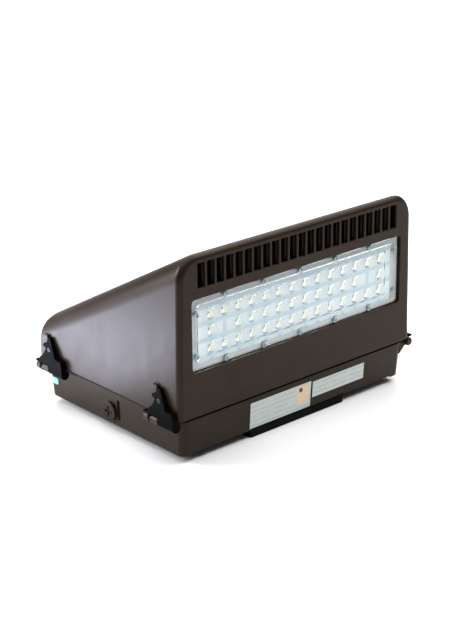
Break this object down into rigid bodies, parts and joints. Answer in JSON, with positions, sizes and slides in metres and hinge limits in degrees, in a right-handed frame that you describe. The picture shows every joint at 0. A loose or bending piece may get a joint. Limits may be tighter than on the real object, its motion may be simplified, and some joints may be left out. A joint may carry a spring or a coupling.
{
  "type": "wall pack light",
  "caption": "Outdoor wall pack light: wedge-shaped bronze housing hinged on a shallow back box, with a flat clear lens over a diode board and a row of vents.",
  "frame": {"origin": "middle of the wall pad's face, on the wall", "axes": "+Z away from the wall, -Y the way the lens looks (down once mounted), +X along the lens"},
  "size_m": [0.38, 0.257, 0.2394],
  "materials": {
    "bronze_paint": "bronze powder-coated die casting",
    "black_plastic": "moulded black",
    "plug_paint": "bronze painted plug",
    "gasket_rubber": "black silicone rubber",
    "gasket_white": "white silicone rubber",
    "pad_foam": "black closed-cell foam",
    "clear_lens": "clear moulded polycarbonate",
    "board_white": "white solder mask",
    "led_phosphor": "yellow phosphor",
    "steel": "zinc plated",
    "black_steel": "black coated",
    "heat_sink_dark": "dark coated aluminium",
    "driver_metal": "extruded aluminium",
    "lead_grey": "jacketed lead",
    "lead_wires": "insulated wire",
    "green_screw": "green ground screw",
    "vial_green": "green liquid in clear acrylic",
    "clip_plastic": "moulded black",
    "label_white": "pale blank sticker"
  },
  "bodies": {
    "back_box": {"back_box": "bronze_paint", "wall_pad": "pad_foam", "rim_gasket": "gasket_rubber", "terminal_block": "black_plastic", "terminal_screws": "steel", "ground_screw": "green_screw", "supply_leads": "lead_wires", "bubble_level_vial": "vial_green", "bubble_level_clip": "clip_plastic", "conduit_plug_left": "plug_paint", "conduit_plug_right": "plug_paint", "conduit_plug_back": "plug_paint", "label_large": "label_white", "label_small": "label_white", "hinge_pin_front": "black_steel", "hinge_pin_back": "black_steel", "latch_pin_front": "black_steel", "latch_pin_back": "black_steel"},
    "door": {"housing": "bronze_paint", "optic_lens": "clear_lens", "lens_gasket": "gasket_white", "lens_screws": "steel", "led_board": "board_white", "led_chips": "led_phosphor", "heat_sink": "heat_sink_dark", "heat_sink_screws": "steel", "led_lead": "lead_grey", "input_lead": "lead_grey", "input_connector": "black_plastic", "driver_bracket": "steel", "driver_case": "driver_metal", "driver_end_caps": "black_plastic", "driver_screws": "steel", "hinge_arm_front": "black_plastic", "hinge_arm_back": "black_plastic", "hinge_arm_screw_front": "black_steel", "hinge_arm_screw_back": "black_steel"},
    "latch_front": {"latch_front": "black_plastic"},
    "latch_back": {"latch_back": "black_plastic"}
  },
  "joints": [
    {"name": "door_hinge", "type": "hinge", "parent": "back_box", "child": "door", "pos_m": [-0.1845, 0, 0.049], "axis": [0, -1, 0], "range_deg": [0, 95]},
    {"name": "latch_front_swing", "type": "hinge", "parent": "back_box", "child": "latch_front", "pos_m": [0.1845, -0.1005, 0.049], "axis": [0, 1, 0], "range_deg": [0, 95]},
    {"name": "latch_back_swing", "type": "hinge", "parent": "back_box", "child": "latch_back", "pos_m": [0.1845, 0.1005, 0.049], "axis": [0, 1, 0], "range_deg": [0, 95]}
  ]
}
